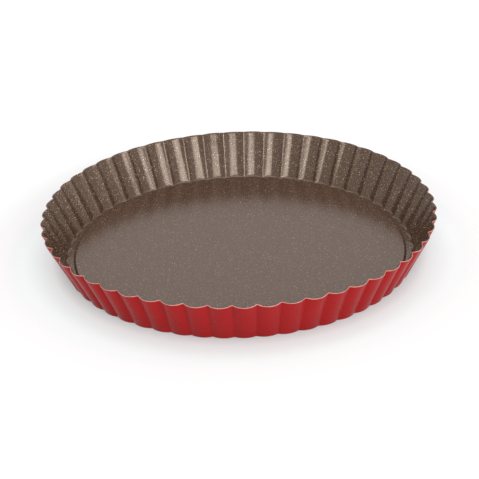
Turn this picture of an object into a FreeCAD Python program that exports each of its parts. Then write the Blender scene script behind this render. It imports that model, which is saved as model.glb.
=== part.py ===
import FreeCAD, Part
import math
import os

# A fluted tart tin pressed from one round blank of coated sheet steel.
# Millimetres, +Z up. The origin is the middle of the ring that the tin stands on.

# Sheet
SHEET = 0.6  # thickness of the steel with its two coatings

# Fluted wall, measured on its outside
FLUTES = 54
RIM_DIAMETER = 280.0  # over the outward flutes, at the height of the rim
RIM_FLUTE_DEPTH = 2.6  # how far a flute stands out from the creases beside it
FOOT_DIAMETER = 248.0  # over the flutes, where wall and base would meet in a sharp corner
FOOT_FLUTE_DEPTH = 1.7
HEIGHT = 32.5  # from the standing ring to the creases' ends, the highest points of the rim
CREASE_RADIUS = 1.0  # outside radius of the narrow crease between two flutes
FOOT_BEND = 1.2  # inside radius where the wall turns into the base
BEND_STEPS = 1  # narrow strips that make the bend

# The blank is cut round before it is pressed, so the rim dips where a flute leans further out
RIM_DIP = 0.8

# Raised middle of the base, measured on its upper side
PANEL_DIAMETER = 235.0
PANEL_RISE = 1.6
PANEL_STEP_RUN = 0.9  # how far the step leans out on its way down
PANEL_BEND = 0.4  # inside radius of the upper edge of the step, cut as one narrow strip

LEAN = math.atan2((RIM_DIAMETER - FOOT_DIAMETER) / 2, HEIGHT)  # of the wall, from upright
WALL = SHEET / math.cos(LEAN)  # the sheet measured level, through the leaning wall
UP = FreeCAD.Vector(0, 0, 1)


def polar(radius, angle, height_at):
    """The point at a radius and an angle about Z, as high as height_at says for that radius."""
    return FreeCAD.Vector(radius * math.cos(angle), radius * math.sin(angle), height_at(radius))


def flute_outline(tip_radius, depth, inset, height_at):
    """Closed outline of FLUTES wide outward arcs joined by narrow inward arcs, all tangent.

    A wide arc is centred on its flute's middle line and a narrow one on its crease's, half a
    pitch further round. inset moves the whole outline inward by one distance.
    """
    half_pitch = math.pi / FLUTES
    crease_centre = tip_radius - depth + CREASE_RADIUS
    along = crease_centre * math.cos(half_pitch)
    across = crease_centre * math.sin(half_pitch)
    reach = tip_radius + CREASE_RADIUS
    flute_centre = (reach**2 - along**2 - across**2) / (2 * (reach - along))
    # The two arcs touch on the line between their centres
    flute_radius = tip_radius - flute_centre - inset
    turn = math.atan2(across, along - flute_centre)
    touch_x = flute_centre + flute_radius * math.cos(turn)
    touch_y = flute_radius * math.sin(turn)
    touch_radius = math.hypot(touch_x, touch_y)
    touch_angle = math.atan2(touch_y, touch_x)

    edges = []
    for number in range(FLUTES):
        middle = 2 * half_pitch * number
        start = polar(touch_radius, middle - touch_angle, height_at)
        tip = polar(tip_radius - inset, middle, height_at)
        end = polar(touch_radius, middle + touch_angle, height_at)
        crease = polar(tip_radius - depth - inset, middle + half_pitch, height_at)
        next_start = polar(touch_radius, middle + 2 * half_pitch - touch_angle, height_at)
        edges.append(Part.Arc(start, tip, end).toShape())
        edges.append(Part.Arc(end, crease, next_start).toShape())
    return Part.Wire(edges)


def wall_outline(z, inset):
    """Level outline of the wall: from foot to rim its radius and its flutes grow evenly."""
    share = z / HEIGHT
    tip_radius = (FOOT_DIAMETER + share * (RIM_DIAMETER - FOOT_DIAMETER)) / 2
    depth = FOOT_FLUTE_DEPTH + share * (RIM_FLUTE_DEPTH - FOOT_FLUTE_DEPTH)
    return flute_outline(tip_radius, depth, inset, lambda radius: z)


def rim_outline(inset):
    """Outline of the rim, which falls evenly from the creases out to the tips of the flutes."""
    highest = RIM_DIAMETER / 2 - RIM_FLUTE_DEPTH - WALL
    slope = RIM_DIP / RIM_FLUTE_DEPTH

    def height_at(radius):
        return HEIGHT - slope * (radius - highest)

    return flute_outline(RIM_DIAMETER / 2, RIM_FLUTE_DEPTH, inset, height_at)


def bend_outlines(bend_radius):
    """Level outlines up the bend from base to wall, on its outside or its inside.

    Both sides turn about one centre, which lies FOOT_BEND above the upper side of the base.
    """
    centre_height = FOOT_BEND + SHEET
    sweep = math.pi / 2 - LEAN
    centre_inset = centre_height * math.tan(sweep / 2)
    outlines = []
    for step in range(BEND_STEPS + 1):
        angle = sweep * step / BEND_STEPS
        z = centre_height - bend_radius * math.cos(angle)
        inset = centre_inset - bend_radius * math.sin(angle) + z * math.tan(LEAN)
        outlines.append(wall_outline(z, inset))
    return outlines


def panel_profile(foot_radius, base_height, flat_radius, bend_radius):
    """Half section of the raised middle: up the step, over its upper bend and in to the axis."""
    lean = math.atan2(PANEL_STEP_RUN, PANEL_RISE)
    cut_back = bend_radius * math.tan((math.pi / 2 - lean) / 2)
    top = base_height + PANEL_RISE
    below_x = flat_radius + cut_back * math.sin(lean)
    below_z = top - cut_back * math.cos(lean)
    return Part.makePolygon([
        FreeCAD.Vector(foot_radius, 0, base_height),
        FreeCAD.Vector(below_x, 0, below_z),
        FreeCAD.Vector(flat_radius - cut_back, 0, top),
        FreeCAD.Vector(0, 0, top),
    ])


def base_side(outline, height, flat_radius, bend_radius):
    """One side of the base: the flat ring inside an outline, the step and the raised middle."""
    foot_radius = flat_radius + PANEL_STEP_RUN
    circle = Part.makeCircle(foot_radius, FreeCAD.Vector(0, 0, height))
    ring = Part.makeFace([outline, Part.Wire([circle])], "Part::FaceMakerBullseye")
    profile = panel_profile(foot_radius, height, flat_radius, bend_radius)
    return ring.Faces + profile.revolve(FreeCAD.Vector(), UP, 360).Faces


def build_tin():
    """The sheet's surface followed from the underside, up the wall, over the rim and back in."""
    outside = bend_outlines(FOOT_BEND + SHEET)
    inside = bend_outlines(FOOT_BEND)
    sections = outside + [rim_outline(0), rim_outline(WALL)] + inside[::-1]
    wall = Part.makeLoft(sections, False, True)

    # The step's two sides stay one sheet apart, so the lower one is smaller all round
    step = math.hypot(PANEL_RISE, PANEL_STEP_RUN)
    lower_flat_radius = PANEL_DIAMETER / 2 - SHEET * (step - PANEL_STEP_RUN) / PANEL_RISE
    lower = base_side(outside[0], 0, lower_flat_radius, PANEL_BEND)
    upper = base_side(inside[0], SHEET, PANEL_DIAMETER / 2, PANEL_BEND + SHEET)

    skin = Part.Shell(wall.Faces + lower + upper)
    skin.sewShape()
    return Part.Solid(skin)


def main():
    os.makedirs("parts", exist_ok=True)
    tin = build_tin()
    tin.exportStep("parts/tin.step")
    print("valid", tin.isValid(), "volume mm3", round(tin.Volume, 1), "faces", len(tin.Faces))


main()
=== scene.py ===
"""Dresses a packed fluted tart tin: its pressed shell, the shell's coatings and a studio."""

import math

import bpy
from bpy.props import FloatProperty, FloatVectorProperty, IntProperty, PointerProperty
from mathutils import Matrix, Vector


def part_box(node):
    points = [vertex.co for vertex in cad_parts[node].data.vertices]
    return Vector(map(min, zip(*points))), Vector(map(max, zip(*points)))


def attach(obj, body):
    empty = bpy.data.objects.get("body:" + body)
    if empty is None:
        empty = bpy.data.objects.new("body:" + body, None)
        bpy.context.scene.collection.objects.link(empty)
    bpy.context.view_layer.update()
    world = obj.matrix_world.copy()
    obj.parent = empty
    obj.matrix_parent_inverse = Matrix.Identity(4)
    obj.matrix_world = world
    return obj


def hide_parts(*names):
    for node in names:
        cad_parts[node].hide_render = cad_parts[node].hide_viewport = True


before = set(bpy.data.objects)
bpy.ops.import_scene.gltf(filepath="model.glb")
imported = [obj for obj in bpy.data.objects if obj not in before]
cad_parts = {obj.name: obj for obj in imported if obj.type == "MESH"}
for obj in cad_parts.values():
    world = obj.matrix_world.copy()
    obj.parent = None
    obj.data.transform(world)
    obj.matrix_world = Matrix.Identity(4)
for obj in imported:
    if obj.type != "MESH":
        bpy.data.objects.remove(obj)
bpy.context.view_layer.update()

bl_info = {
    "name": "Fluted tart tin",
    "version": (1, 0, 0),
    "blender": (4, 5, 0),
    "location": "View3D > Sidebar > Tart tin",
    "description": "Presses a fluted tart tin, coats it and lights it for a picture",
    "category": "Add Mesh",
}

MM = 0.001
NODE = "tin"
LOW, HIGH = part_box(NODE)


# Sizes and colours that a user would change

def linear(hex_code):
    """The linear colour that an sRGB hex value stands for."""
    parts = [int(hex_code[start:start + 2], 16) / 255 for start in (1, 3, 5)]
    return tuple(p / 12.92 if p <= 0.04045 else ((p + 0.055) / 1.055) ** 2.4 for p in parts)


def length(name, description, millimetres):
    """A property that holds a length."""
    return FloatProperty(name=name, description=description, default=millimetres * MM,
                         min=0, precision=5, subtype="DISTANCE", unit="LENGTH")


def angle(name, description, degrees):
    """A property that holds an angle."""
    return FloatProperty(name=name, description=description, default=math.radians(degrees),
                         subtype="ANGLE", unit="ROTATION")


def colour(name, description, hex_code):
    """A property that holds a colour."""
    return FloatVectorProperty(name=name, description=description, default=linear(hex_code),
                               min=0, max=1, size=3, subtype="COLOR")


class ShellSizes(bpy.types.PropertyGroup):
    """The sizes of the pressed sheet."""

    flutes: IntProperty(name="Flutes", description="Flutes round the wall", default=54, min=3)
    sheet: length("Sheet", "Thickness of the steel with its two coatings", 0.6)
    rim_diameter: length("Rim diameter", "Over the flutes at the rim", (HIGH.x - LOW.x) / MM)
    rim_depth: length("Rim flute depth", "From a flute's tip in to a crease, at the rim", 2.6)
    rim_dip: length("Rim dip", "How far the rim falls from a crease to a flute's tip", 0.8)
    rim_edge: length("Edge radius", "Rounding of the coated cut edge", 0.3)
    foot_diameter: length("Foot diameter", "Over the flutes, where wall and base would meet", 248)
    foot_depth: length("Foot flute depth", "From a flute's tip in to a crease, at the foot", 1.7)
    height: length("Height", "From the standing ring to the highest point", (HIGH.z - LOW.z) / MM)
    crease: length("Crease radius", "Outside radius of the fold between two flutes", 1)
    foot_bend: length("Foot bend", "Inside radius where the wall turns into the base", 1.2)
    panel_diameter: length("Panel diameter", "Top of the raised middle", 235)
    panel_rise: length("Panel rise", "How far the middle stands above the ring", 1.6)
    panel_run: length("Panel run", "How far the panel's step leans out on its way down", 0.9)
    panel_bend: length("Panel bend", "Inside radius of the step's two bends", 0.4)
    unevenness: length("Unevenness", "How far the pressing leaves the wall from true", 0.45)
    uneven_span: length("Unevenness span", "From one soft dent to the next", 13)


class CoatingColours(bpy.types.PropertyGroup):
    """The colours and grain of the coatings."""

    enamel: colour("Enamel", "Outside and underside", "#AB2123")
    nonstick: colour("Non-stick", "Inside of the tin", "#523727")
    fleck: colour("Fleck", "Mineral flecks in the non-stick coating", "#F0E0C8")
    # The cut edge's pale salmon is a painted highlight over the red enamel of its outer corner
    edge: colour("Cut edge", "Where the enamel thins over the cut steel", "#E8A094")
    fleck_size: length("Fleck size", "Width of the larger flecks", 0.6)


class StudioSizes(bpy.types.PropertyGroup):
    """Where the camera stands and how it looks."""

    distance: length("Camera distance", "From the tin's axis, along the floor", 1082.3)
    camera_height: length("Camera height", "Above the floor", 566.6)
    azimuth: angle("Azimuth", "Turn of the camera about the tin, from straight in front", 2.62)
    tilt: angle("Tilt", "How far down the camera looks", 27.266)
    roll: angle("Roll", "Turn of the picture about its middle", -2.168)
    lens: FloatProperty(name="Lens", description="Focal length on a 36 mm wide sensor, in mm",
                        default=128.34, min=1)


# The shell's mesh, one flute wide

# Which coating a face carries
ENAMEL, EDGE, NONSTICK = range(3)
# How finely the arcs are drawn
FLUTE_STEPS = 12
HALF_CREASE_STEPS = 4
FOOT_BEND_STEPS = 6
PANEL_BEND_STEPS = 3
EDGE_STEPS = 3
# Shares of the wall's height with a row of points; the first and last keep the bends' shading
WALL_SHARES = (0.03, 0.2, 0.4, 0.6, 0.8, 0.97)
# A row this far inside each flat keeps it flat up to its bend
SUPPORT = 0.3 * MM
# Radius of the innermost row, round the middle of the base
MIDDLE_RING = 60 * MM
# Points of two neighbouring flutes that lie nearer than this are welded
WELD = 0.002 * MM
# Another seed moves the soft dents
DENT_SEED = 4.0


def lean(sizes):
    """How far the wall leans from upright."""
    return math.atan2((sizes.rim_diameter - sizes.foot_diameter) / 2, sizes.height)


def flute_outline(sizes, tip_radius, depth, inset):
    """One flute and the halves of the creases beside it, as points x, y about the X axis.

    A wide outward arc and two narrow inward arcs, all tangent, moved inward by inset.
    """
    half_pitch = math.pi / sizes.flutes
    crease_centre = tip_radius - depth + sizes.crease
    along = crease_centre * math.cos(half_pitch)
    across = crease_centre * math.sin(half_pitch)
    reach = tip_radius + sizes.crease
    flute_centre = (reach**2 - along**2 - across**2) / (2 * (reach - along))
    flute_radius = tip_radius - flute_centre - inset
    crease_radius = sizes.crease + inset
    # The arcs touch on the line between their centres
    touch = math.atan2(across, along - flute_centre)

    half = []
    for step in range(FLUTE_STEPS // 2):
        turn = touch * 2 * step / FLUTE_STEPS
        half.append((flute_centre + flute_radius * math.cos(turn), flute_radius * math.sin(turn)))
    for step in range(HALF_CREASE_STEPS + 1):
        turn = touch + (half_pitch - touch) * step / HALF_CREASE_STEPS
        half.append((along - crease_radius * math.cos(turn),
                     across - crease_radius * math.sin(turn)))
    return [(x, -y) for x, y in half[:0:-1]] + half


def wall_row(sizes, z, inset):
    """A level row of the wall: from foot to rim its radius and its flutes grow evenly."""
    share = z / sizes.height
    tip_radius = (sizes.foot_diameter + share * (sizes.rim_diameter - sizes.foot_diameter)) / 2
    depth = sizes.foot_depth + share * (sizes.rim_depth - sizes.foot_depth)
    return [Vector((x, y, z)) for x, y in flute_outline(sizes, tip_radius, depth, inset)]


def rim_row(sizes, wall, inset):
    """The rim's row, which falls from the creases out to the tip, as the round blank was cut."""
    tip_radius = sizes.rim_diameter / 2
    highest = tip_radius - sizes.rim_depth - wall
    slope = sizes.rim_dip / sizes.rim_depth
    outline = flute_outline(sizes, tip_radius, sizes.rim_depth, inset)
    return [Vector((x, y, sizes.height - slope * (math.hypot(x, y) - highest)))
            for x, y in outline]


def foot_rows(sizes, bend_radius):
    """The rows of the bend from base to wall. Both sides of the sheet turn about one centre."""
    centre_height = sizes.foot_bend + sizes.sheet
    sweep = math.pi / 2 - lean(sizes)
    centre_inset = centre_height * math.tan(sweep / 2)
    rows = []
    for step in range(FOOT_BEND_STEPS + 1):
        turn = sweep * step / FOOT_BEND_STEPS
        z = centre_height - bend_radius * math.cos(turn)
        inset = centre_inset - bend_radius * math.sin(turn) + z * math.tan(lean(sizes))
        rows.append(wall_row(sizes, z, inset))
    return rows


def rounded(before, corner, after, radius):
    """Points x, z round a corner of a half section."""
    back = (before - corner).normalized()
    on = (after - corner).normalized()
    half = back.angle(on) / 2
    centre = corner + (back + on).normalized() * radius / math.sin(half)
    start = corner + back * radius / math.tan(half) - centre
    end = corner + on * radius / math.tan(half) - centre
    points = []
    for step in range(PANEL_BEND_STEPS + 1):
        spoke = start.lerp(end, step / PANEL_BEND_STEPS)
        points.append(centre + spoke.normalized() * radius)
    return points


def base_rows(sizes, ledge, flat_radius, upper_bend, lower_bend):
    """Rows from the middle of the base out to its ledge: the panel, its step and its two bends."""
    ledge_height = ledge[0].z
    top = ledge_height + sizes.panel_rise
    inner = Vector((MIDDLE_RING, top))
    shoulder = Vector((flat_radius, top))
    foot = Vector((flat_radius + sizes.panel_run, ledge_height))
    outer = Vector((sizes.foot_diameter / 2, ledge_height))
    over = rounded(inner, shoulder, foot, upper_bend)
    under = rounded(shoulder, foot, outer, lower_bend)
    section = [inner, over[0] - Vector((SUPPORT, 0)), *over, *under,
               under[-1] + Vector((SUPPORT, 0))]
    angles = [math.atan2(point.y, point.x) for point in ledge]
    return [[Vector((point.x * math.cos(turn), point.x * math.sin(turn), point.y))
             for turn in angles] for point in section]


def wall_rows(lower, upper):
    """Rows up the straight wall, between two rows that are added elsewhere."""
    return [[a.lerp(b, share) for a, b in zip(lower, upper)] for share in WALL_SHARES]


def edge_corner(edge, toward_wall, toward_edge, radius):
    """Rows round one corner of the cut edge, from the wall onto the edge."""
    rows = []
    for step in range(EDGE_STEPS + 1):
        turn = math.pi / 2 * step / EDGE_STEPS
        rows.append([point + down * radius * (1 - math.sin(turn))
                     + across * radius * (1 - math.cos(turn))
                     for point, down, across in zip(edge, toward_wall, toward_edge)])
    return rows


def directions(start, end):
    """Unit vectors from the points of one row to those of another."""
    return [(b - a).normalized() for a, b in zip(start, end)]


def flute_rows(sizes):
    """Every row over one flute, up the outside, over the rim and down the inside.

    Returns the rows and, for each strip between two of them, the coating it carries.
    """
    wall = sizes.sheet / math.cos(lean(sizes))
    outer_foot = foot_rows(sizes, sizes.foot_bend + sizes.sheet)
    inner_foot = foot_rows(sizes, sizes.foot_bend)
    outer_rim = rim_row(sizes, wall, 0)
    inner_rim = rim_row(sizes, wall, wall)
    outer_corner = edge_corner(outer_rim, directions(outer_rim, outer_foot[-1]),
                               directions(outer_rim, inner_rim), sizes.rim_edge)
    inner_corner = edge_corner(inner_rim, directions(inner_rim, inner_foot[-1]),
                               directions(inner_rim, outer_rim), sizes.rim_edge)

    # The step's two sides stay one sheet apart, so the lower one is smaller all round
    slant = math.hypot(sizes.panel_rise, sizes.panel_run)
    closer = sizes.sheet * (slant - sizes.panel_run) / sizes.panel_rise
    tight, wide = sizes.panel_bend, sizes.panel_bend + sizes.sheet
    under = base_rows(sizes, outer_foot[0], sizes.panel_diameter / 2 - closer, tight, wide)
    upper = base_rows(sizes, inner_foot[0], sizes.panel_diameter / 2, wide, tight)

    outside = under + outer_foot + wall_rows(outer_foot[-1], outer_corner[0])
    edge = outer_corner + inner_corner[::-1]
    inside = (wall_rows(inner_foot[-1], inner_corner[0])[::-1] + inner_foot[::-1] + upper[::-1])
    # The enamel ends on the outer corner of the cut edge, which carries the edge's painted
    # highlight, and after it the non-stick coating begins
    coatings = ([ENAMEL] * len(outside) + [EDGE] * EDGE_STEPS
                + [NONSTICK] * (len(edge) - 1 - EDGE_STEPS + len(inside)))
    return outside + edge + inside, coatings


def flute_mesh(sizes):
    """One flute's part of the shell, from the middle of the underside to that of the floor."""
    rows, coatings = flute_rows(sizes)
    columns = len(rows[0])
    points = [Vector((0, 0, rows[0][0].z))]
    for row in rows:
        points.extend(row)
    points.append(Vector((0, 0, rows[-1][0].z)))
    last = len(points) - 1

    faces, finishes = [], []
    for column in range(columns - 1):
        here = 1 + column
        faces.append((0, here + 1, here))
        finishes.append(ENAMEL)
        for coating in coatings:
            there = here + columns
            faces.append((here, here + 1, there + 1, there))
            finishes.append(coating)
            here = there
        faces.append((here, here + 1, last))
        finishes.append(NONSTICK)

    mesh = bpy.data.meshes.new("one_flute")
    mesh.from_pydata(points, [], faces)
    mesh.attributes.new("finish", "INT", "FACE").data.foreach_set("value", finishes)
    mesh.shade_smooth()
    return mesh


# Node trees

# A noise texture keeps near 0.5. These inputs of a Map Range node stretch it
SOFT_CONTRAST = {"From Min": 0.3, "From Max": 0.7}
HARD_CONTRAST = {"From Min": 0.35, "From Max": 0.65}
# The Mix node's sockets for two colours and for the colour between them
MIX_A, MIX_B, MIX_RESULT = 6, 7, 2


def add(tree, kind, inputs=None, **settings):
    """Adds a node with its settings. Each input is given a value, or a socket to link it to."""
    node = tree.nodes.new(kind)
    for name, value in settings.items():
        setattr(node, name, value)
    for name, value in (inputs or {}).items():
        if isinstance(value, bpy.types.NodeSocket):
            tree.links.new(value, node.inputs[name])
        else:
            node.inputs[name].default_value = value
    return node


def flutes_tree():
    """Turns one flute about the tin's axis, welds the copies and sets their coatings."""
    tree = bpy.data.node_groups.new("flutes_round_the_tin", "GeometryNodeTree")
    for name, kind in (("Flute", "Geometry"), ("Flutes", "Int"), ("Weld", "Float"),
                       ("Height", "Float"), ("Unevenness", "Float"), ("Span", "Float"),
                       ("Seed", "Float"), ("Enamel", "Material"), ("Edge", "Material"),
                       ("Non-stick", "Material")):
        tree.interface.new_socket(name=name, in_out="INPUT", socket_type="NodeSocket" + kind)
    tree.interface.new_socket(name="Shell", in_out="OUTPUT", socket_type="NodeSocketGeometry")
    sizes = add(tree, "NodeGroupInput").outputs

    # One point for each flute, all on the axis, each turned by its share of the circle
    points = add(tree, "GeometryNodePoints", {"Count": sizes["Flutes"]})
    index = add(tree, "GeometryNodeInputIndex")
    pitch = add(tree, "ShaderNodeMath", {0: math.tau, 1: sizes["Flutes"]}, operation="DIVIDE")
    turn = add(tree, "ShaderNodeMath", {0: index.outputs[0], 1: pitch.outputs[0]},
               operation="MULTIPLY")
    about_z = add(tree, "ShaderNodeCombineXYZ", {"Z": turn.outputs[0]})
    rotation = add(tree, "FunctionNodeEulerToRotation", {0: about_z.outputs[0]})
    copies = add(tree, "GeometryNodeInstanceOnPoints",
                 {"Points": points.outputs[0], "Instance": sizes["Flute"],
                  "Rotation": rotation.outputs[0]})
    whole = add(tree, "GeometryNodeRealizeInstances", {0: copies.outputs[0]})
    welded = add(tree, "GeometryNodeMergeByDistance",
                 {"Geometry": whole.outputs[0], "Distance": sizes["Weld"]})

    # Soft dents, which press the wall inward by more the nearer it is to the rim
    place = add(tree, "GeometryNodeInputPosition")
    grain = add(tree, "ShaderNodeMath", {0: 1.0, 1: sizes["Span"]}, operation="DIVIDE")
    dents = add(tree, "ShaderNodeTexNoise",
                {"Vector": place.outputs[0], "W": sizes["Seed"], "Scale": grain.outputs[0],
                 "Detail": 1.0}, noise_dimensions="4D")
    depth = add(tree, "ShaderNodeMapRange",
                {"Value": dents.outputs[0], **SOFT_CONTRAST, "To Max": sizes["Unevenness"]})
    parts = add(tree, "ShaderNodeSeparateXYZ", {0: place.outputs[0]})
    share = add(tree, "ShaderNodeMath", {0: parts.outputs["Z"], 1: sizes["Height"]},
                operation="DIVIDE")
    amount = add(tree, "ShaderNodeMath", {0: depth.outputs[0], 1: share.outputs[0]},
                 operation="MULTIPLY")
    to_axis = add(tree, "ShaderNodeVectorMath", {0: place.outputs[0], 1: (-1.0, -1.0, 0.0)},
                  operation="MULTIPLY")
    inward = add(tree, "ShaderNodeVectorMath", {0: to_axis.outputs[0]}, operation="NORMALIZE")
    offset = add(tree, "ShaderNodeVectorMath",
                 {0: inward.outputs[0], "Scale": amount.outputs[0]}, operation="SCALE")
    shell = add(tree, "GeometryNodeSetPosition",
                {"Geometry": welded.outputs[0], "Offset": offset.outputs[0]})

    finish = add(tree, "GeometryNodeInputNamedAttribute", {"Name": "finish"}, data_type="INT")
    for number, name in ((ENAMEL, "Enamel"), (EDGE, "Edge"), (NONSTICK, "Non-stick")):
        chosen = add(tree, "FunctionNodeCompare", {"A": finish.outputs[0], "B": number},
                     data_type="INT", operation="EQUAL")
        shell = add(tree, "GeometryNodeSetMaterial",
                    {"Geometry": shell.outputs[0], "Selection": chosen.outputs[0],
                     "Material": sizes[name]})
    add(tree, "NodeGroupOutput", {"Shell": shell.outputs[0]})
    return tree


def shaped(name, mesh, tree, values):
    """An object whose mesh is what the tree makes of the given one."""
    piece = bpy.data.objects.new(name, mesh)
    bpy.context.scene.collection.objects.link(piece)
    modifier = piece.modifiers.new("shape", "NODES")
    modifier.node_group = tree
    for socket in tree.interface.items_tree:
        if socket.name in values:
            modifier[socket.identifier] = values[socket.name]
    depsgraph = bpy.context.evaluated_depsgraph_get()
    made = bpy.data.meshes.new_from_object(piece.evaluated_get(depsgraph), depsgraph=depsgraph)
    made.name = name
    piece.modifiers.remove(modifier)
    piece.data = made
    return piece


# Materials

def shade(tone, share=1.0):
    """A colour darkened to a share of itself, with the alpha that a socket takes."""
    return (*(part * share for part in tone), 1)


def new_material(name):
    """A material with a bare Principled shader, its tree and that shader."""
    material = bpy.data.materials.new(name)
    material.use_nodes = True
    tree = material.node_tree
    tree.nodes.clear()
    shader = add(tree, "ShaderNodeBsdfPrincipled")
    add(tree, "ShaderNodeOutputMaterial", {"Surface": shader.outputs[0]})
    return material, tree, shader


def stove_enamel(colours):
    """Red stoved enamel sprayed on sheet steel: an even, deep colour under a satin gloss,
    with the faint orange peel of a sprayed coat."""
    material, tree, shader = new_material("stove_enamel_red")
    cloud_width, peel_width, peel_height = 25 * MM, 1.6 * MM, 0.004 * MM
    place = add(tree, "ShaderNodeTexCoord").outputs["Object"]
    drift = add(tree, "ShaderNodeTexNoise", {"Vector": place, "Scale": 1 / cloud_width,
                                             "Detail": 2.0})
    tone = add(tree, "ShaderNodeMix",
               {0: drift.outputs[0], MIX_A: shade(colours.enamel, 0.86),
                MIX_B: shade(colours.enamel)}, data_type="RGBA")
    tree.links.new(tone.outputs[MIX_RESULT], shader.inputs["Base Color"])
    gloss = add(tree, "ShaderNodeMapRange",
                {"Value": drift.outputs[0], "To Min": 0.24, "To Max": 0.32})
    tree.links.new(gloss.outputs[0], shader.inputs["Roughness"])
    peel = add(tree, "ShaderNodeTexNoise", {"Vector": place, "Scale": 1 / peel_width,
                                            "Detail": 2.0})
    bump = add(tree, "ShaderNodeBump", {"Height": peel.outputs[0], "Strength": 1.0,
                                        "Distance": peel_height})
    tree.links.new(bump.outputs[0], shader.inputs["Normal"])
    shader.inputs["IOR"].default_value = 1.45
    shader.inputs["Specular IOR Level"].default_value = 0.08
    shader.inputs["Specular Tint"].default_value = shade(linear("#FFE4D4"))
    return material


def flecks(tree, place, spacing, radius, share):
    """A mask of round flecks, bright and faint, in a share of a grid of uneven cells."""
    cells = add(tree, "ShaderNodeTexVoronoi", {"Vector": place, "Scale": 1 / spacing})
    near = add(tree, "ShaderNodeMapRange",
               {"Value": cells.outputs["Distance"], "From Min": radius / spacing,
                "From Max": 0.5 * radius / spacing})
    chance = add(tree, "ShaderNodeSeparateColor", {0: cells.outputs["Color"]})
    filled = add(tree, "ShaderNodeMapRange",
                 {"Value": chance.outputs[0], "From Min": 1.0 - share, "From Max": 1.0})
    mask = add(tree, "ShaderNodeMath", {0: near.outputs[0], 1: filled.outputs[0]},
               operation="MULTIPLY")
    return mask.outputs[0]


def speckled_nonstick(colours):
    """Brown fluoropolymer non-stick coat with mineral flecks: a smooth dark film that turns
    pale where it mirrors the light, grained by small pale flecks. Real flecks are about
    0.2 mm wide; they are drawn coarser, because finer ones don't show in the picture."""
    material, tree, shader = new_material("speckled_nonstick_brown")
    grain_width, cloud_width, fleck_height = 0.6 * MM, 12 * MM, 0.006 * MM
    size = colours.fleck_size
    place = add(tree, "ShaderNodeTexCoord").outputs["Object"]
    large = flecks(tree, place, spacing=2.6 * size, radius=0.68 * size, share=0.4)
    small = flecks(tree, place, spacing=1.2 * size, radius=0.38 * size, share=0.6)
    both = add(tree, "ShaderNodeMath", {0: large, 1: small}, operation="MAXIMUM")
    # The flecks are at half strength up to 3 mm high and at full strength from 9 mm high
    height = add(tree, "ShaderNodeSeparateXYZ", {0: place})
    by_height = add(tree, "ShaderNodeMapRange",
                {"Value": height.outputs["Z"], "From Min": 3 * MM, "From Max": 9 * MM,
                 "To Min": 0.5, "To Max": 1.0})
    strength = add(tree, "ShaderNodeMath", {0: both.outputs[0], 1: by_height.outputs[0]},
                   operation="MULTIPLY")
    grain = add(tree, "ShaderNodeTexNoise", {"Vector": place, "Scale": 1 / grain_width,
                                             "Detail": 2.0, "Roughness": 0.6})
    drift = add(tree, "ShaderNodeTexNoise", {"Vector": place, "Scale": 1 / cloud_width,
                                             "Detail": 3.0, "Roughness": 0.6})
    spread = add(tree, "ShaderNodeMapRange", {"Value": grain.outputs[0], **HARD_CONTRAST})
    film = add(tree, "ShaderNodeMix",
               {0: spread.outputs[0], MIX_A: shade(colours.nonstick, 0.6),
                MIX_B: shade(colours.nonstick)}, data_type="RGBA")
    tone = add(tree, "ShaderNodeMix",
               {0: strength.outputs[0], MIX_A: film.outputs[MIX_RESULT],
                MIX_B: shade(colours.fleck)}, data_type="RGBA")
    tree.links.new(tone.outputs[MIX_RESULT], shader.inputs["Base Color"])
    gloss = add(tree, "ShaderNodeMapRange",
                {"Value": drift.outputs[0], "To Min": 0.18, "To Max": 0.24})
    tree.links.new(gloss.outputs[0], shader.inputs["Roughness"])
    bump = add(tree, "ShaderNodeBump", {"Height": strength.outputs[0], "Strength": 1.0,
                                        "Distance": fleck_height})
    tree.links.new(bump.outputs[0], shader.inputs["Normal"])
    shader.inputs["IOR"].default_value = 1.68
    shader.inputs["Specular Tint"].default_value = shade(linear("#FFECDA"))
    return material


def edge_painted_highlight(colours):
    """The red enamel on the outer corner of the sheared steel edge, painted pale salmon: a painted
    highlight for the line of light that the corner catches, a little uneven along its length."""
    material, tree, shader = new_material("cut_edge_painted_highlight")
    lump_width, lump_height = 3 * MM, 0.02 * MM
    place = add(tree, "ShaderNodeTexCoord").outputs["Object"]
    lumps = add(tree, "ShaderNodeTexNoise", {"Vector": place, "Scale": 1 / lump_width,
                                             "Detail": 3.0})
    amount = add(tree, "ShaderNodeMapRange", {"Value": lumps.outputs[0], **HARD_CONTRAST})
    tone = add(tree, "ShaderNodeMix",
               {0: amount.outputs[0], MIX_A: shade(colours.edge),
                MIX_B: shade(colours.edge, 0.7)}, data_type="RGBA")
    tree.links.new(tone.outputs[MIX_RESULT], shader.inputs["Base Color"])
    shader.inputs["Roughness"].default_value = 0.32
    bump = add(tree, "ShaderNodeBump", {"Height": lumps.outputs[0], "Strength": 1.0,
                                        "Distance": lump_height})
    tree.links.new(bump.outputs[0], shader.inputs["Normal"])
    return material


def plain_in_pictures(tree):
    """1 for the rays that should see a plain white studio, and 0 for those that light things."""
    path = add(tree, "ShaderNodeLightPath")
    seen = add(tree, "ShaderNodeMath", {0: path.outputs["Is Camera Ray"],
                                        1: path.outputs["Is Glossy Ray"]}, operation="ADD")
    either = add(tree, "ShaderNodeMath", {0: seen.outputs[0],
                                          1: path.outputs["Is Transmission Ray"]},
                 operation="ADD", use_clamp=True)
    return either.outputs[0]


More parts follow.
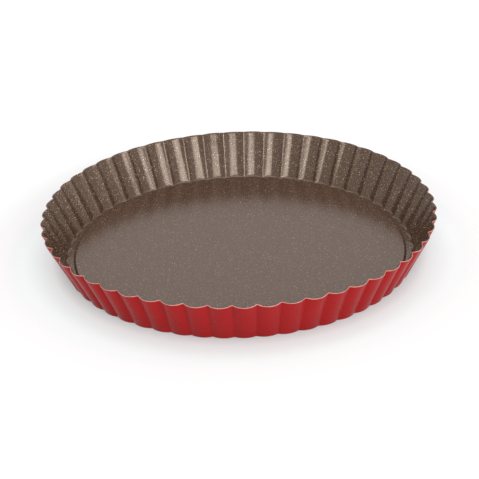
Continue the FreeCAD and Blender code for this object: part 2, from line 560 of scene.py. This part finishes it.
# How much the paper glows towards plain white, for the camera and in gloss, by the distance
# from the tin's axis: a painted glow that shapes the shadow. It is least beside the foot, which
# paints the shadow deepest there. It makes the shadow clear fast, and far off the paper is plain
BESIDE_FOOT = {"From Min": 122 * MM, "From Max": 134 * MM, "To Min": 0.22, "To Max": 0.38}
BEYOND_FOOT = {"From Min": 134 * MM, "From Max": 160 * MM, "To Min": 1.0, "To Max": 0.62}
FAR_OFF = {"From Min": 180 * MM, "From Max": 400 * MM, "To Min": 0.0, "To Max": 0.4}
# Where the paper, painted cooler beside the tin against the red light thrown on it, turns plain
COOL_TO_PLAIN = {"From Min": 120 * MM, "From Max": 170 * MM}


def studio_paper():
    """Matt white paper with a painted glow for the camera and in gloss, least beside the tin's
    foot, so that only the shadow shows on it, painted deepest there, and the rest runs out into
    plain white. Beside the tin its colour is painted cooler, against the red light that the enamel
    throws."""
    material, tree, shader = new_material("studio_paper_white")
    shader.inputs["Roughness"].default_value = 0.9
    shader.inputs["Emission Color"].default_value = (1, 1, 1, 1)
    place = add(tree, "ShaderNodeTexCoord").outputs["Object"]
    away = add(tree, "ShaderNodeVectorMath", {0: place}, operation="LENGTH").outputs["Value"]
    beside = add(tree, "ShaderNodeMapRange", {"Value": away, **BESIDE_FOOT})
    beyond = add(tree, "ShaderNodeMapRange", {"Value": away, **BEYOND_FOOT})
    near = add(tree, "ShaderNodeMath", {0: beside.outputs[0], 1: beyond.outputs[0]},
               operation="MULTIPLY")
    far = add(tree, "ShaderNodeMapRange", {"Value": away, **FAR_OFF})
    amount = add(tree, "ShaderNodeMath", {0: near.outputs[0], 1: far.outputs[0]},
                 operation="ADD")
    lift = add(tree, "ShaderNodeMath", {0: plain_in_pictures(tree), 1: amount.outputs[0]},
               operation="MULTIPLY")
    # Close to the tin the paper is painted cooler, to take out the red light that the enamel
    # throws on it
    clear = add(tree, "ShaderNodeMapRange", {"Value": away, **COOL_TO_PLAIN})
    tone = add(tree, "ShaderNodeMix",
               {0: clear.outputs[0], MIX_A: shade(linear("#CAE1E1")),
                MIX_B: shade(linear("#E1E1E1"))}, data_type="RGBA")
    tree.links.new(tone.outputs[MIX_RESULT], shader.inputs["Base Color"])
    tree.links.new(lift.outputs[0], shader.inputs["Emission Strength"])
    return material


# The studio

# Brightness of the sky that lights the tin, plain white at 1
AMBIENT = 0.42
# From the middle of the paper to its edge, in metres
PAPER_HALF = 3.0
# The paper lies just clear of the tin's standing ring
PAPER_DROP = 0.02 * MM
# The camera's sensor, in mm, which its focal length goes with
SENSOR_WIDTH = 36


def look_at(position, target):
    """The turn that faces -Z of a lamp at a target."""
    return (target - position).to_track_quat("-Z", "Y").to_matrix().to_4x4()


def softbox(name, azimuth, elevation, distance, size, brightness, mirrored=True):
    """A rectangular lamp aimed at the tin.

    Its azimuth is its turn from straight in front, and its elevation its height over level,
    both in degrees. Its distance and size are in metres. Its brightness is its own radiance,
    plain white at 1. A lamp that isn't mirrored lights things and doesn't show in their gloss.
    """
    data = bpy.data.lights.new(name, "AREA")
    data.shape = "RECTANGLE"
    data.size, data.size_y = size
    data.energy = brightness * math.pi * size[0] * size[1]
    lamp = bpy.data.objects.new(name, data)
    bpy.context.scene.collection.objects.link(lamp)
    turn, rise = math.radians(azimuth), math.radians(elevation)
    flat = distance * math.cos(rise)
    position = Vector((flat * math.sin(turn), -flat * math.cos(turn), distance * math.sin(rise)))
    lamp.matrix_world = Matrix.Translation(position) @ look_at(position, Vector())
    lamp.visible_camera = False
    lamp.visible_glossy = mirrored


def hang_lamps():
    """Five lamps round the tin."""
    # The bands down the far flutes mirror two strips that hang behind the camera. They are
    # narrow, so that seen from behind, the tin's floor mirrors less of them
    softbox("front_strip", azimuth=6, elevation=27, distance=3.0, size=(1.9, 0.3),
            brightness=11.0)
    softbox("side_strip", azimuth=33, elevation=27, distance=3.0, size=(0.9, 0.3),
            brightness=7.0)
    # The front lamp gives the rest of the light from that side
    softbox("front_softbox", azimuth=6, elevation=30, distance=3.0, size=(1.9, 0.6),
            brightness=5.0, mirrored=False)
    # The overhead lamp lights the floor and the rim, and leaves the foot in shadow
    softbox("high_softbox", azimuth=180, elevation=80, distance=2.6, size=(2.2, 1.8),
            brightness=2.3)
    # The right lamp hangs low, so it brightens the right of the enamel and not the floor
    softbox("right_softbox", azimuth=55, elevation=6, distance=3.0, size=(1.5, 0.6),
            brightness=6.0)


def make_world():
    """An even sky, which is plain white where it is seen or mirrored."""
    world = bpy.data.worlds.new("studio")
    world.use_nodes = True
    tree = world.node_tree
    tree.nodes.clear()
    strength = add(tree, "ShaderNodeMapRange",
                   {"Value": plain_in_pictures(tree), "To Min": AMBIENT, "To Max": 1.0})
    sky = add(tree, "ShaderNodeBackground", {"Color": (1, 1, 1, 1),
                                             "Strength": strength.outputs[0]})
    add(tree, "ShaderNodeOutputWorld", {"Surface": sky.outputs[0]})
    bpy.context.scene.world = world


def make_camera(studio):
    """The camera, on its stand in front of the tin, turned about the tin's axis."""
    data = bpy.data.cameras.new("camera")
    data.lens = studio.lens
    data.sensor_width = SENSOR_WIDTH
    camera = bpy.data.objects.new("camera", data)
    bpy.context.scene.collection.objects.link(camera)
    stand = Matrix.Translation((0, -studio.distance, studio.camera_height))
    tilt = Matrix.Rotation(math.pi / 2 - studio.tilt, 4, "X")
    roll = Matrix.Rotation(studio.roll, 4, "Z")
    camera.matrix_world = Matrix.Rotation(studio.azimuth, 4, "Z") @ stand @ tilt @ roll
    bpy.context.scene.camera = camera


def make_floor():
    """One large sheet of paper under the tin."""
    corners = [(x * PAPER_HALF, y * PAPER_HALF, -PAPER_DROP)
               for x, y in ((-1, -1), (1, -1), (1, 1), (-1, 1))]
    mesh = bpy.data.meshes.new("paper_floor")
    mesh.from_pydata(corners, [], [(0, 1, 2, 3)])
    floor = bpy.data.objects.new("paper_floor", mesh)
    bpy.context.scene.collection.objects.link(floor)
    floor.data.materials.append(studio_paper())


# Operators and their panel

class TARTTIN_OT_shell(bpy.types.Operator):
    """Press the fluted shell and coat it"""

    bl_idname = "tarttin.shell"
    bl_label = "Press the shell"
    bl_options = {"REGISTER", "UNDO"}

    def execute(self, context):
        sizes = context.scene.tart_tin_shell
        colours = context.scene.tart_tin_coatings
        shell = shaped("fluted_shell", flute_mesh(sizes), flutes_tree(), {
            "Flutes": sizes.flutes,
            "Weld": WELD,
            "Height": sizes.height,
            "Unevenness": sizes.unevenness,
            "Span": sizes.uneven_span,
            "Seed": DENT_SEED,
            "Enamel": stove_enamel(colours),
            "Edge": edge_painted_highlight(colours),
            "Non-stick": speckled_nonstick(colours),
        })
        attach(shell, "root")
        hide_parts(NODE)
        return {"FINISHED"}


class TARTTIN_OT_studio(bpy.types.Operator):
    """Lay the paper, hang the lamps and set up the camera"""

    bl_idname = "tarttin.studio"
    bl_label = "Set the studio"
    bl_options = {"REGISTER", "UNDO"}

    def execute(self, context):
        make_floor()
        make_world()
        hang_lamps()
        make_camera(context.scene.tart_tin_studio)
        context.scene.view_settings.view_transform = "Standard"
        return {"FINISHED"}


class TARTTIN_PT_panel(bpy.types.Panel):
    """The tin's operators and their sizes"""

    bl_idname = "TARTTIN_PT_panel"
    bl_label = "Tart tin"
    bl_space_type = "VIEW_3D"
    bl_region_type = "UI"
    bl_category = "Tart tin"

    def draw(self, context):
        scene = context.scene
        for group, operator in ((scene.tart_tin_shell, "tarttin.shell"),
                                (scene.tart_tin_coatings, None),
                                (scene.tart_tin_studio, "tarttin.studio")):
            column = self.layout.column(align=True)
            for name in group.__annotations__:
                column.prop(group, name)
            if operator:
                column.operator(operator)


CLASSES = (ShellSizes, CoatingColours, StudioSizes, TARTTIN_OT_shell, TARTTIN_OT_studio,
           TARTTIN_PT_panel)


def register():
    """Adds the classes and gives each scene their sizes and colours."""
    for item in CLASSES:
        bpy.utils.register_class(item)
    bpy.types.Scene.tart_tin_shell = PointerProperty(type=ShellSizes)
    bpy.types.Scene.tart_tin_coatings = PointerProperty(type=CoatingColours)
    bpy.types.Scene.tart_tin_studio = PointerProperty(type=StudioSizes)


def unregister():
    """Takes back what register adds."""
    del bpy.types.Scene.tart_tin_studio
    del bpy.types.Scene.tart_tin_coatings
    del bpy.types.Scene.tart_tin_shell
    for item in reversed(CLASSES):
        bpy.utils.unregister_class(item)


def main():
    """Makes the tin and its studio."""
    register()
    bpy.ops.tarttin.shell()
    bpy.ops.tarttin.studio()


if __name__ == "__main__":
    main()
